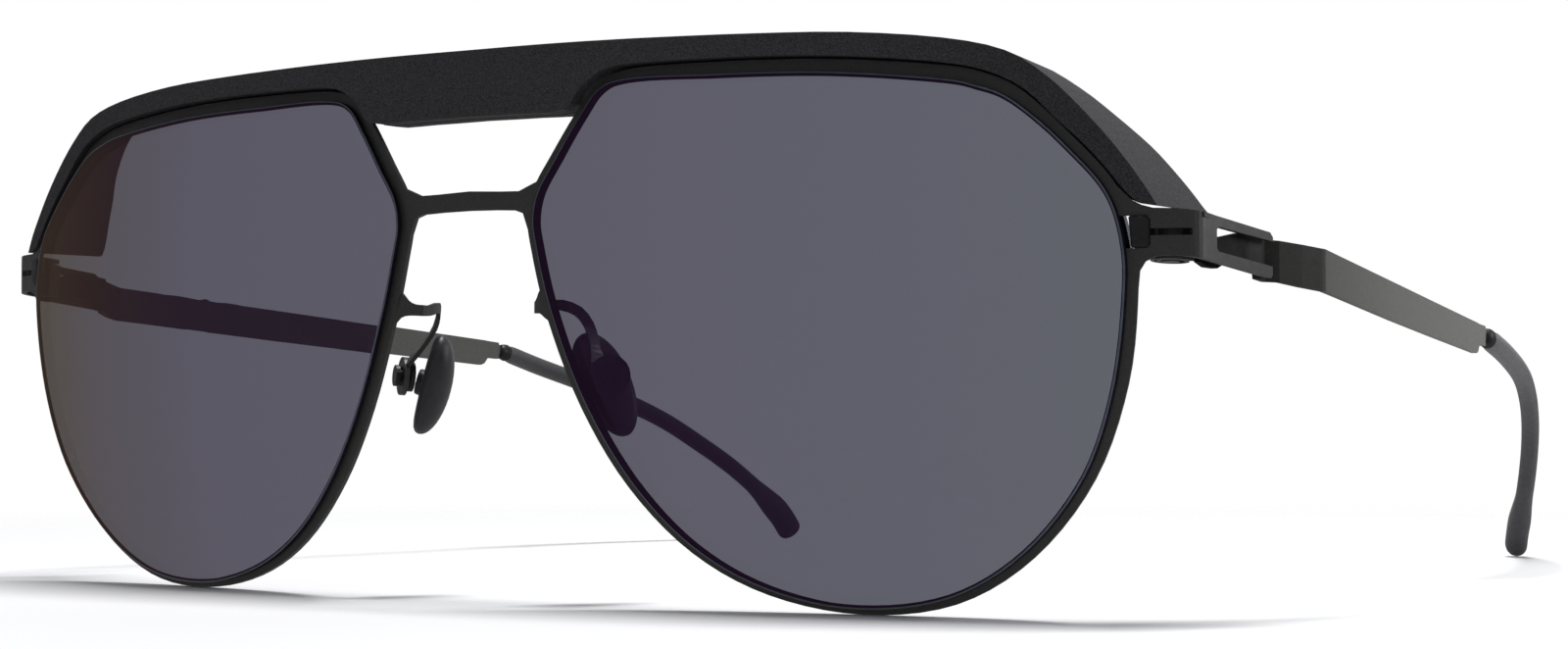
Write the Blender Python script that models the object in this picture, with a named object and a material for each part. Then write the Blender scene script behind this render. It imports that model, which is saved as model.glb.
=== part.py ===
"""Aviator sunglasses: a sheet-metal front with a moulded brow bar, grooved lenses, wound sheet hinges,
sheet temples with soft tips, and soft nose pads that rock on the front's sheet arms.

Driving dimensions are in millimetres. The wearer's left is +X, the front faces -Y, and +Z is up.
The front's depths are measured from the bridge and then shifted so that the object is centred on Y.
"""
import math

import bmesh
import bpy
import numpy as np
from mathutils import Matrix, Vector

MM = 0.001
MID_DEPTH = 67.72       # from the bridge's front face to the middle of the object's depth
SIDES = (("left", 1), ("right", -1))

# Base curve of the front: how far it falls back from its foremost point.
BOW_START = 15.6        # flat across the bridge up to here
BOW_RADIUS = 144.4
STAND_RADIUS = 115.6
STAND_CENTRE = 32.1
FOREMOST = -0.72

SHEET = 0.5
RIM_WIDTH = 1.35
LENS_INSET = 1.1        # lens edge, inside the rim's outer edge
GROOVE_INSET = 1.55
LENS_MIDDLE = (35.5, 25.0)
# How much narrower the rim is, by direction in degrees from the middle of the lens.
SLIM = ((-180, 0.1), (-150, 0.15), (-92, 0.62), (-70, 0.52), (-30, 0.5), (-8, 0.25), (14, 0.4), (37, 0.34),
        (54, -0.05), (115, 0.0), (134, 0.25), (150, 0.1), (180, 0.1))
RIM_POINTS = (
    (6.65, 34.2), (7.07, 31.45), (8.7, 25.43), (11.9, 17.5), (16.2, 10.6), (22.0, 4.95), (29.0, 1.45),
    (37.5, 0.0), (45.8, 1.05), (52.8, 5.1), (58.3, 11.6), (61.4, 19.4), (62.4, 27.0), (62.1, 31.6),
    (60.8, 35.4), (57.8, 39.0), (53.3, 43.3), (50.0, 45.0), (46.0, 45.85), (36.0, 46.8), (25.0, 47.1),
    (17.0, 47.0), (13.7, 46.0), (11.55, 43.5), (9.08, 39.87), (7.25, 36.95))
RIM_STEPS = 5

# End piece and hinge lug, along the sheet (s) and up (z).
FOLD_START = 65.6
FOLD_RADIUS = 2.2
LUG_ANGLE = math.radians(85.5)
LUG_END = 79.9
WINDOW_START = 70.05
SLIT_END = 66.7
LOCK_OUT = 63.4
LOCK_LOW, LOCK_HIGH = 30.3, 32.95
SLIT_LOW, SLIT_HIGH = 31.33, 31.9

# Hinge axis.
HINGE = (63.8, 10.5, 30.9)
TILT = math.radians(5.0)
COIL_RADIUS = 1.95
COIL_PITCH = 0.5
COIL_SHEET = 0.32
COIL_TURNS = 1.8
COIL_LOW, COIL_HIGH = -1.55, 1.6
CORE_RADIUS = 0.7
TAB_LOW, TAB_HIGH = 1.85, 2.25

# Temple sheet: x, y, lower edge, upper edge.
TEMPLE_SHEET = 0.6
TEMPLE = (
    (65.7, 11.15, 29.3, 31.15), (65.85, 12.3, 28.9, 31.25), (66.05, 13.8, 28.85, 31.4),
    (66.2, 15.0, 29.3, 31.55), (66.35, 16.2, 29.7, 31.75), (66.5, 17.4, 29.6, 31.95),
    (66.76, 20.4, 29.3, 31.85), (66.79, 20.6, 28.25, 31.75), (66.98, 21.8, 28.05, 31.6),
    (68.0, 22.5, 28.0, 31.5), (69.1, 24.6, 27.65, 31.25), (70.2, 27.0, 27.35, 30.95),
    (69.8, 31.0, 27.05, 30.6), (67.86, 49.8, 25.55, 29.05), (66.1, 66.0, 24.4, 27.75),
    (64.35, 83.0, 23.2, 26.35), (64.28, 83.6, 23.4, 26.3), (64.22, 84.2, 24.1, 26.22),
    (64.15, 86.3, 24.0, 26.05))
TANG = (0.45, 0.2)
TANG_ROOT = (64.15, 86.6, 25.03)
TIP_PATH = (
    (64.1, 88.3, 24.72), (63.9, 94.5, 23.2), (62.9, 102.5, 21.2), (61.2, 110.0, 18.9),
    (59.3, 116.7, 16.2), (57.6, 121.8, 13.4), (55.9, 126.3, 10.6), (54.4, 129.8, 7.9),
    (53.1, 132.4, 5.4), (52.1, 134.2, 3.3), (51.5, 135.3, 1.51))
BORE = (0.42, 0.68)
BORE_STATIONS = 3

# Nose pad, the clip it rocks with, and the strip arm that ends in a round plate.
PAD_CENTRE = Vector((10.35, 6.8, 19.7))
PAD_DOWN = Vector((3.86, 1.35, -9.09)).normalized()
PAD_FACE = Vector((-0.87, 0.5, 0.0))
PAD_HALF = (5.0, 2.45)
PAD_CROWN, PAD_BACK, PAD_BOSS = 2.0, 0.75, 1.2
PLATE_CENTRE = Vector((12.15, 5.0, 20.5))
PLATE_FACE = Vector((-0.62, 0.78, -0.08)).normalized()
PLATE_RADIUS, PLATE_HOLE = 1.8, 0.9
NECK_RADIUS = 0.6
CLIP = ((1.0, -0.85), (1.0, -0.48), (NECK_RADIUS, -0.48), (NECK_RADIUS, 0.48), (1.4, 0.48), (1.4, 0.9))
# Strip arm: centre, width, heading of its front face in degrees from -Y towards -X.
ARM = (
    ((8.7, -0.34, 26.8), 3.2, 0.0), ((8.15, -0.3, 26.75), 2.5, 8.0), ((7.6, -0.08, 26.6), 1.5, 25.0),
    ((7.0, 0.35, 26.45), 1.05, 40.0), ((6.5, 0.85, 26.4), 1.0, 58.0), ((6.42, 1.6, 26.4), 0.95, 85.0),
    ((6.7, 2.7, 26.6), 0.95, 100.0), ((7.4, 4.2, 26.75), 0.95, 112.0), ((8.35, 5.45, 26.2), 0.92, 122.0),
    ((9.15, 5.95, 25.0), 0.9, 130.0), ((9.95, 5.6, 23.6), 0.88, 134.0), ((10.55, 5.1, 22.6), 0.9, 138.0),
    ((11.3, 4.5, 21.6), 1.3, 141.5))
ARM_SHEET = 0.42

# Brow bar: inner edge, outer edge, set forward, reach to the rear, lip behind the rim, lean inwards.
BROW = (
    ((0.0, 43.6), (0.0, 49.7), 1.25, 3.6, 0.05, 0.1), ((6.0, 43.55), (7.0, 49.7), 1.25, 3.6, 0.05, 0.1),
    ((11.0, 43.65), (12.0, 49.65), 1.25, 3.7, 0.05, 0.1),
    ((12.75, 45.55), (14.5, 49.6), 1.25, 3.8, 0.1, 0.1),
    ((15.4, 47.05), (17.0, 49.55), 1.25, 3.9, 0.6, 0.1), ((20.0, 47.32), (21.0, 49.45), 1.25, 4.0, 0.8, 0.1),
    ((30.0, 47.22), (30.0, 49.2), 1.25, 4.2, 0.8, 0.15), ((38.0, 46.85), (38.5, 48.85), 1.2, 4.6, 0.8, 0.25),
    ((46.0, 46.05), (46.7, 48.0), 1.0, 5.2, 0.8, 0.45), ((50.4, 45.1), (51.9, 46.75), 0.8, 5.9, 0.8, 0.6),
    ((53.6, 43.45), (55.2, 44.6), 0.6, 6.9, 0.8, 0.6), ((56.1, 41.0), (57.8, 42.1), 0.5, 7.9, 0.8, 0.5),
    ((58.1, 39.1), (60.1, 39.5), 0.4, 9.1, 0.8, 0.45), ((60.0, 37.0), (61.7, 37.4), 0.35, 9.9, 0.8, 0.45),
    ((61.5, 35.05), (63.0, 35.5), 0.35, 10.5, 0.6, 0.45),
    ((62.35, 34.2), (63.8, 34.15), 0.3, 10.7, 0.6, 0.45), ((62.95, 33.87), (64.05, 33.68), 0.3, 10.8, 0.6, 0.4))
BROW_WALL = 1.1
BROW_BODY = 2.6


def depth(x, z):
    bow = max(abs(x) - BOW_START, 0.0)
    return FOREMOST + bow * bow / (2 * BOW_RADIUS) + (z - STAND_CENTRE) ** 2 / (2 * STAND_RADIUS)


def on_sheet(s, z, offset):
    """A point at s along the bent sheet and z up it, offset behind its front face."""
    run = abs(s)
    start_angle = math.atan((FOLD_START - BOW_START) / BOW_RADIUS)
    if run <= FOLD_START:
        angle = math.atan(max(run - BOW_START, 0.0) / BOW_RADIUS)
        x, y = run, depth(run, z)
    else:
        angle = min(start_angle + (run - FOLD_START) / FOLD_RADIUS, LUG_ANGLE)
        straight = run - FOLD_START - FOLD_RADIUS * (angle - start_angle)
        x = FOLD_START + FOLD_RADIUS * (math.sin(angle) - math.sin(start_angle))
        y = depth(FOLD_START, z) + FOLD_RADIUS * (math.cos(start_angle) - math.cos(angle))
        x += straight * math.cos(angle)
        y += straight * math.sin(angle)
    x -= offset * math.sin(angle)
    y += offset * math.cos(angle)
    return math.copysign(x, s), y, z


def world(point):
    x, y, z = point
    return Vector((x, y - MID_DEPTH, z)) * MM


def through(points, steps, closed=True):
    """Points of a smooth curve through the given ones."""
    count = len(points)
    last = count if closed else count - 1
    result = []
    for i in range(last):
        if closed:
            p = [Vector(points[(i + k) % count]) for k in (-1, 0, 1, 2)]
        else:
            p = [Vector(points[min(max(i + k, 0), count - 1)]) for k in (-1, 0, 1, 2)]
        for step in range(steps):
            t = step / steps
            result.append(0.5 * (2 * p[1] + (p[2] - p[0]) * t
                                 + (2 * p[0] - 5 * p[1] + 4 * p[2] - p[3]) * t * t
                                 + (3 * p[1] - p[0] - 3 * p[2] + p[3]) * t ** 3))
    if not closed:
        result.append(Vector(points[-1]))
    return result


def slimness(point):
    """How much narrower the rim is beside a point of its outline."""
    angle = math.degrees(math.atan2(point.y - LENS_MIDDLE[1], point.x - LENS_MIDDLE[0]))
    return float(np.interp(angle, [row[0] for row in SLIM], [row[1] for row in SLIM]))


def inset(outline, distance):
    """The rim outline moved inwards, which is to the left of its direction."""
    moved = []
    for i, point in enumerate(outline):
        along = (outline[(i + 1) % len(outline)] - outline[i - 1]).normalized()
        moved.append(point + Vector((-along.y, along.x)) * (distance - slimness(point)))
    return moved


def material(name, colour, roughness, metallic=0.0, alpha=1.0):
    made = bpy.data.materials.new(name)
    made.use_nodes = True
    shader = made.node_tree.nodes["Principled BSDF"]
    shader.inputs["Base Color"].default_value = (*colour, 1.0)
    shader.inputs["Roughness"].default_value = roughness
    shader.inputs["Metallic"].default_value = metallic
    shader.inputs["Alpha"].default_value = alpha
    return made


def add(name, mesh, finish, collection, pivot=None):
    """An object for a mesh in metres, its origin on the pivot empty where it has one."""
    made = bpy.data.objects.new(name, mesh)
    if pivot:
        mesh.transform(pivot.matrix_world.inverted())
        made.parent = pivot
    mesh.materials.append(finish)
    mesh.shade_smooth()
    mesh.set_sharp_from_angle(angle=math.radians(35))
    collection.objects.link(made)
    return made


def close_mesh(name, builder):
    bmesh.ops.remove_doubles(builder, verts=builder.verts, dist=1e-7)
    bmesh.ops.triangulate(builder, faces=builder.faces)
    bmesh.ops.recalc_face_normals(builder, faces=builder.faces)
    mesh = bpy.data.meshes.new(name)
    builder.to_mesh(mesh)
    builder.free()
    return mesh


def loft(name, rings, ends=(None, None)):
    """A closed body through rings of equal count; an end is a centre point or a flat face."""
    builder = bmesh.new()
    rows = [[builder.verts.new(world(point)) for point in ring] for ring in rings]
    count = len(rings[0])
    for lower, upper in zip(rows, rows[1:]):
        for i in range(count):
            j = (i + 1) % count
            builder.faces.new((lower[i], lower[j], upper[j], upper[i]))
    for row, centre in ((rows[0][::-1], ends[0]), (rows[-1], ends[1])):
        if centre is None:
            builder.faces.new(row)
            continue
        tip = builder.verts.new(world(centre))
        for i in range(count):
            builder.faces.new((row[i], row[(i + 1) % count], tip))
    return close_mesh(name, builder)


def hinge_point(side, x, y, z):
    """A point in the hinge's own tilted frame, outward, rearward and along the axis."""
    turned = Matrix.Rotation(-TILT, 3, "X") @ Vector((x, y, z))
    return side * (HINGE[0] + turned.x), HINGE[1] + turned.y, HINGE[2] + turned.z


def rim_outline():
    return through(RIM_POINTS, RIM_STEPS)


def part_between(outline, start, end):
    """The outline's points from the one nearest start round to the one nearest end."""
    nearest = [min(range(len(outline)), key=lambda i: (outline[i] - Vector(p)).length)
               for p in (start, end)]
    count = (nearest[1] - nearest[0]) % len(outline)
    return [outline[(nearest[0] + k) % len(outline)] for k in range(count + 1)]


def front_pattern():
    """The flat sheet: one half's outer edge from the bridge, and its lens opening."""
    rim = rim_outline()
    bridge_top = [(0.0, 36.95), (3.5, 36.8), (5.6, 36.75), (6.6, 37.15)]
    upper = part_between(rim[::-1], (7.4, 37.6), (60.7, 35.6))
    lug_top = [(61.35, 34.85), (62.0, 34.2), (62.7, 33.82), (63.6, 33.56), (65.4, 33.5), (68.2, 33.2),
               (LUG_END - 0.5, 32.15), (LUG_END, 31.75)]
    arms = [(LUG_END, 31.4), (WINDOW_START + 0.3, 32.15), (WINDOW_START, 31.9),
            (WINDOW_START, 30.4), (WINDOW_START + 0.3, 30.13), (LUG_END - 0.1, 29.3)]
    lug_low = [(LUG_END - 0.1, 28.6), (LUG_END - 0.4, 28.32), (75.5, 28.7), (68.2, 29.42),
               (65.2, 29.72), (63.9, 29.66), (63.0, 29.25), (62.55, 28.5)]
    lower = part_between(rim[::-1], (62.4, 27.2), (6.6, 33.2))
    bridge_low = [(6.1, 34.75), (5.2, 35.05), (3.0, 35.15), (0.0, 35.2)]
    half = bridge_top + [tuple(p) for p in upper] + lug_top + arms + lug_low
    half += [tuple(p) for p in lower] + bridge_low
    opening = inset(rim, RIM_WIDTH)
    above = part_between(opening, (61.1, LOCK_HIGH), (61.3, LOCK_LOW))
    lock = [(61.5, LOCK_LOW), (LOCK_OUT - 0.3, LOCK_LOW), (LOCK_OUT, LOCK_LOW + 0.3),
            (LOCK_OUT, SLIT_LOW), (SLIT_END, SLIT_LOW), (SLIT_END, SLIT_HIGH), (LOCK_OUT, SLIT_HIGH),
            (LOCK_OUT, LOCK_HIGH - 0.3), (LOCK_OUT - 0.3, LOCK_HIGH), (61.4, LOCK_HIGH)]
    return half, lock + [tuple(p) for p in above]


def flat_sheet(outlines):
    """A mesh of the flat pattern, s along X and z along Y, its front face at zero."""
    curve = bpy.data.curves.new("pattern", "CURVE")
    curve.dimensions = "2D"
    curve.fill_mode = "BOTH"
    curve.extrude = SHEET / 2
    for outline in outlines:
        spline = curve.splines.new("POLY")
        spline.points.add(len(outline) - 1)
        for point, (s, z) in zip(spline.points, outline):
            point.co = (s, z, 0.0, 1.0)
        spline.use_cyclic_u = True
    holder = bpy.data.objects.new("pattern", curve)
    bpy.context.scene.collection.objects.link(holder)
    evaluated = holder.evaluated_get(bpy.context.evaluated_depsgraph_get())
    mesh = bpy.data.meshes.new_from_object(evaluated)
    bpy.data.objects.remove(holder)
    bpy.data.curves.remove(curve)
    return mesh


def front_mesh():
    half, opening = front_pattern()
    mirrored = [(-s, z) for s, z in reversed(half) if s > 0]
    sheet = flat_sheet([half + mirrored, opening, [(-s, z) for s, z in reversed(opening)]])
    builder = bmesh.new()
    builder.from_mesh(sheet)
    bpy.data.meshes.remove(sheet)
    bmesh.ops.remove_doubles(builder, verts=builder.verts, dist=1e-5)
    bends = [11.0 + k * 5.0 for k in range(11)] + [FOLD_START + k * 0.43 for k in range(7)]
    cuts = [((side * s, 0, 0), (1, 0, 0)) for s in bends for side in (1, -1)]
    cuts += [((0, 6.0 + k * 6.0, 0), (0, 1, 0)) for k in range(7)]
    for point, normal in cuts:
        bmesh.ops.bisect_plane(builder, geom=builder.verts[:] + builder.edges[:] + builder.faces[:],
                               plane_co=point, plane_no=normal, dist=1e-5)
    for vertex in builder.verts:
        s, z, through_sheet = vertex.co
        vertex.co = world(on_sheet(s, z, SHEET / 2 - through_sheet))
    return close_mesh("front_frame", builder)


def arm_mesh(side):
    """The strip that carries a nose pad, cut from the same sheet and bent."""
    rows = through_rows([(*centre, width, heading) for centre, width, heading in ARM], 2)
    points = [Vector(row[:3]) for row in rows]
    rings = []
    for i, (point, row) in enumerate(zip(points, rows)):
        along = (points[min(i + 1, len(points) - 1)] - points[max(i - 1, 0)]).normalized()
        turn = math.radians(row[4])
        face = Vector((-math.sin(turn), -math.cos(turn), 0.0))
        wide = along.cross(face).normalized() * row[3] / 2
        thick = wide.cross(along).normalized() * ARM_SHEET / 2
        rings.append([Vector((side, 1, 1)) * (point + k * thick + h * wide)
                      for k, h in ((-1, -1), (1, -1), (1, 1), (-1, 1))])
    return loft("arm", rings)


def pad_frame(side):
    down = PAD_DOWN.copy()
    face = (PAD_FACE - down * PAD_FACE.dot(down)).normalized()
    wide = down.cross(face)
    flip = Vector((side, 1, 1))
    return [v * flip for v in (PAD_CENTRE, down, face, wide)]


def lathe(name, centre, axis, profile, sides=16):
    """A solid of revolution about an axis through (radius, height) points."""
    across = axis.orthogonal().normalized()
    third = axis.cross(across)
    rings = [[centre + axis * h + r * (math.cos(a) * across + math.sin(a) * third)
              for a in (2 * math.pi * k / sides for k in range(sides))] for r, h in profile]
    return loft(name, rings)


def washer(name, centre, axis, radius, thickness, hole, sides=20):
    """A round plate about an axis, with a round hole."""
    across = axis.orthogonal().normalized()
    third = axis.cross(across)
    builder = bmesh.new()
    low, high = -thickness / 2, thickness / 2
    rows = [[builder.verts.new(world(centre + axis * h + r * (math.cos(a) * across + math.sin(a) * third)))
             for a in (2 * math.pi * k / sides for k in range(sides))]
            for r, h in ((hole, low), (radius, low), (radius, high), (hole, high))]
    for row, after in zip(rows, rows[1:] + rows[:1]):
        for i in range(sides):
            j = (i + 1) % sides
            builder.faces.new((row[i], row[j], after[j], after[i]))
    return close_mesh(name, builder)


def unite(target, meshes, cutters):
    """Boolean unions of further bodies into an object."""
    for i, mesh in enumerate(meshes):
        body = bpy.data.objects.new(f"{target.name}_joined_{i}", mesh)
        cutters.objects.link(body)
        body.hide_render = True
        body.display_type = "WIRE"
        joined = target.modifiers.new(f"join_{i}", "BOOLEAN")
        joined.operation = "UNION"
        joined.solver = "EXACT"
        joined.object = body


def front_additions(side):
    """The nose pad arm with its round plate, and the tab over the hinge core."""
    flip = Vector((side, 1, 1))
    plate = washer("plate", PLATE_CENTRE * flip, PLATE_FACE * flip, PLATE_RADIUS, SHEET, PLATE_HOLE)
    corners = [(-1.1, -0.9), (-0.7, -1.2), (3.35, -1.2), (3.35, 1.2), (-0.7, 1.2), (-1.1, 0.9)]
    tab = loft("tab", [[hinge_point(side, x, y, z) for x, y in corners] for z in (TAB_LOW, TAB_HIGH)])
    return [arm_mesh(side), plate, tab]


def lens_mesh(name, side):
    rim = rim_outline()
    centre = Vector(LENS_MIDDLE)
    edge = ((LENS_INSET + 0.15, -0.7), (LENS_INSET, -0.58), (LENS_INSET, -0.17), (GROOVE_INSET, -0.17),
            (GROOVE_INSET, 0.67), (LENS_INSET, 0.67), (LENS_INSET, 1.15), (LENS_INSET + 0.2, 1.35))
    face_outline = inset(rim, LENS_INSET + 0.2)

    def ring(outline, offset):
        return [on_sheet(side * p.x, p.y, offset) for p in outline]

    def shrunk(scale):
        return [centre + (p - centre) * scale for p in face_outline]

    rings = [ring(shrunk(k), -0.7) for k in (0.35, 0.7)]
    rings += [ring(inset(rim, distance), offset) for distance, offset in edge]
    rings += [ring(shrunk(k), 1.35) for k in (0.7, 0.35)]
    ends = [on_sheet(side * centre.x, centre.y, offset) for offset in (-0.7, 1.35)]
    return loft(name, rings, ends)


def lock_mesh(name, side):
    """The rounded plug that fills the slot beside the lens."""
    low, high = LOCK_LOW + 0.12, LOCK_HIGH - 0.12
    inner, outer = 61.75, LOCK_OUT - 0.12
    corner = 0.35
    outline = [(inner + 0.3, low), (outer - corner, low), (outer, low + corner), (outer, high - corner),
               (outer - corner, high), (inner, high)]
    rings = []
    for shrink, offset in ((0.86, -0.3), (1.0, -0.1), (1.0, 0.95)):
        middle = Vector(((inner + outer) / 2, (low + high) / 2))
        rings.append([on_sheet(side * p.x, p.y, offset)
                      for p in (middle + (Vector(q) - middle) * shrink for q in outline)])
    return loft(name, rings)


def brow_mesh():
    stations = []
    for (x0, z0), (x1, z1), *sizes in BROW:
        stations.append((x0, z0, x1, z1, *sizes))
    half = [tuple(row) for row in through_rows(stations, 3)]
    mirrored = [(-r[0], r[1], -r[2], r[3]) + r[4:] for r in reversed(half[1:])]
    rings = []
    for x0, z0, x1, z1, forward, reach, lip, lean in mirrored + half:
        inner, outer = Vector((x0, z0)), Vector((x1, z1))
        across = (outer - inner).normalized()
        rear = outer - across * lean
        wall = rear - across * min(BROW_WALL, (rear - inner).length * 0.6)
        lipped = inner - across * lip
        body = min(BROW_BODY, reach - 0.6)
        section = ((inner, -forward), (outer, -forward), (rear, reach), (wall, reach),
                   (wall, body), (lipped, body), (lipped, 0.85), (inner, 0.85))
        rings.append([(p.x, depth(p.x, p.y) + offset, p.y) for p, offset in section])
    return loft("brow_bar", rings)


def through_rows(rows, steps):
    """Smooth rows of numbers between the given rows."""
    result = []
    for i in range(len(rows) - 1):
        p = [rows[min(max(i + k, 0), len(rows) - 1)] for k in (-1, 0, 1, 2)]
        for step in range(steps):
            t = step / steps
            result.append([0.5 * (2 * b + (c - a) * t + (2 * a - 5 * b + 4 * c - d) * t * t
                                  + (3 * b - a - 3 * c + d) * t ** 3) for a, b, c, d in zip(*p)])
    result.append(list(rows[-1]))
    return result


def temple_mesh(name, side):
    rings = []
    for i, (x, y, low, high) in enumerate(TEMPLE):
        before, after = TEMPLE[max(i - 1, 0)], TEMPLE[min(i + 1, len(TEMPLE) - 1)]
        along = Vector((after[0] - before[0], after[1] - before[1])).normalized()
        half = along.orthogonal() * TEMPLE_SHEET / 2
        rings.append([(side * (x + k * half.x), y + k * half.y, z)
                      for k, z in ((1, low), (1, high), (-1, high), (-1, low))])
    path = [Vector(TANG_ROOT)] + through(TIP_PATH, 2, closed=False)
    tall, wide = TANG
    for i in range(2 * BORE_STATIONS + 1):
        level, up = across_path(path, i)
        rings.append([Vector((side, 1, 1)) * (path[i] + wide * k * level + tall * h * up)
                      for k, h in ((-1, -1), (-1, 1), (1, 1), (1, -1))])
    return loft(name, rings)


def coil_mesh(name, side):
    """The wound end of the temple's tongue, a spiral of sheet about the hinge axis."""
    steps = 40
    rings = []
    for i in range(steps + 1):
        turn = COIL_TURNS * i / steps
        angle = math.radians(8) - 2 * math.pi * turn
        outer = COIL_RADIUS - COIL_PITCH * turn
        rings.append([hinge_point(side, r * math.cos(angle), r * math.sin(angle), z)
                      for r, z in ((outer, COIL_LOW), (outer, COIL_HIGH),
                                   (outer - COIL_SHEET, COIL_HIGH), (outer - COIL_SHEET, COIL_LOW))])
    return loft(name, rings)


def core_mesh(name, side):
    rings = [[hinge_point(side, CORE_RADIUS * math.cos(a), CORE_RADIUS * math.sin(a), z)
              for a in (2 * math.pi * k / 12 for k in range(12))] for z in (-1.6, 1.7)]
    return loft(name, rings)


def across_path(path, i):
    """The level and upward directions across a path at one of its points."""
    along = (Vector(path[min(i + 1, len(path) - 1)]) - Vector(path[max(i - 1, 0)])).normalized()
    level = along.cross(Vector((0, 0, 1))).normalized()
    return level, level.cross(along)


def oval_ring(path, i, tall, wide, side, shift=0.0):
    """An oval section across the tip's path."""
    level, up = across_path(path, i)
    point = Vector(path[i]) + up.cross(level) * shift
    return [Vector((side, 1, 1)) * (point + tall * math.cos(a) * up + wide * math.sin(a) * level)
            for a in (2 * math.pi * k / 12 for k in range(12))]


def tip_mesh(name, side):
    path = through(TIP_PATH, 2, closed=False)
    last = len(path) - 1
    bore_end = 2 * BORE_STATIONS + 1
    rings = [oval_ring(path, i, BORE[1], BORE[0], side) for i in range(bore_end, -1, -1)]
    for i in range(last + 1):
        flare = min(max((i - last + 6) / 3.0, 0.0), 1.0)
        tall = 1.08 + 0.62 * flare
        wide = 0.98 + 0.32 * flare
        rings.append(oval_ring(path, i, tall, wide, side))
    for size, shift in ((0.86, 0.75), (0.5, 1.25)):
        rings.append(oval_ring(path, last, 1.7 * size, 1.3 * size, side, shift))
    return loft(name, rings)


def collar_mesh(name, side):
    """The dark ring at the mouth of the tip."""
    path = ((64.15, 86.75, 25.02), (64.1, 88.1, 24.75))
    outer = [oval_ring(path, i, tall, wide, side) for i, tall, wide in
             ((0, 0.95, 0.8), (1, 1.12, 1.0))]
    inner = [oval_ring(path, i, BORE[1], BORE[0], side) for i in (1, 0)]
    builder = bmesh.new()
    rows = [[builder.verts.new(world(p)) for p in ring] for ring in outer + inner]
    for row, after in zip(rows, rows[1:] + rows[:1]):
        for i in range(12):
            j = (i + 1) % 12
            builder.faces.new((row[i], row[j], after[j], after[i]))
    return close_mesh(name, builder)


def pad_mesh(name, side):
    """A crowned oval pad with a short boss behind it."""
    centre, down, face, wide = pad_frame(side)
    around = 20

    def ring(length, width, height):
        return [centre + face * height + length * math.cos(a) * down + width * math.sin(a) * wide
                for a in (2 * math.pi * k / around for k in range(around))]

    long, short = PAD_HALF
    rings = [ring(0.9, 0.9, -PAD_BOSS), ring(0.9, 0.9, -PAD_BACK), ring(0.82 * long, 0.82 * short, -PAD_BACK),
             ring(0.97 * long, 0.97 * short, -0.4)]
    for a in (0.0, 0.4, 0.8, 1.2):
        rings.append(ring(math.cos(a) * long, math.cos(a) * short, PAD_CROWN * math.sin(a)))
    return loft(name, rings, (None, centre + face * PAD_CROWN))


def clip_mesh(name, side):
    """The clip behind a pad: a disc, a neck through the arm's plate, and a head beyond it."""
    flip = Vector((side, 1, 1))
    return lathe(name, PLATE_CENTRE * flip, PLATE_FACE * flip, CLIP)


def main():
    for item in list(bpy.data.objects):
        bpy.data.objects.remove(item, do_unlink=True)
    parts = bpy.data.collections.new("aviator_sunglasses")
    cutters = bpy.data.collections.new("cutters")
    bpy.context.scene.collection.children.link(parts)
    bpy.context.scene.collection.children.link(cutters)

    steel = material("coated_sheet", (0.035, 0.035, 0.036), 0.45, 0.7)
    nylon = material("printed_nylon", (0.022, 0.022, 0.024), 0.75)
    glass = material("tinted_lens", (0.03, 0.03, 0.035), 0.05, 0.0, 0.35)
    silicone = material("silicone", (0.04, 0.042, 0.045), 0.5)
    rubber = material("tip_rubber", (0.08, 0.078, 0.078), 0.55)
    dark = material("dark_polymer", (0.015, 0.015, 0.016), 0.4)

    front = add("front_frame", front_mesh(), steel, parts)
    add("brow_bar", brow_mesh(), nylon, parts)
    for word, side in SIDES:
        unite(front, front_additions(side), cutters)
        hinge = bpy.data.objects.new(f"hinge_axis_{word}", None)
        hinge.location = world((side * HINGE[0], HINGE[1], HINGE[2]))
        hinge.rotation_euler.x = -TILT
        swivel = bpy.data.objects.new(f"pad_axis_{word}", None)
        down = pad_frame(side)[1]
        swivel.location = world(PLATE_CENTRE * Vector((side, 1, 1)))
        swivel.rotation_euler = down.to_track_quat("Z", "Y").to_euler()
        for empty in (hinge, swivel):
            parts.objects.link(empty)
        bpy.context.view_layer.update()
        add(f"lens_{word}", lens_mesh("lens", side), glass, parts)
        add(f"rim_lock_{word}", lock_mesh("rim_lock", side), dark, parts)
        add(f"hinge_core_{word}", core_mesh("hinge_core", side), steel, parts)
        add(f"hinge_coil_{word}", coil_mesh("hinge_coil", side), steel, parts, hinge)
        add(f"temple_{word}", temple_mesh("temple", side), steel, parts, hinge)
        add(f"temple_tip_{word}", tip_mesh("temple_tip", side), rubber, parts, hinge)
        add(f"tip_collar_{word}", collar_mesh("tip_collar", side), dark, parts, hinge)
        add(f"nose_pad_{word}", pad_mesh("nose_pad", side), silicone, parts, swivel)
        add(f"pad_clip_{word}", clip_mesh("pad_clip", side), dark, parts, swivel)


main()
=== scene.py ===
"""Looks of the aviator sunglasses: materials, rounded pieces, studio and camera."""
import math

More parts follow.
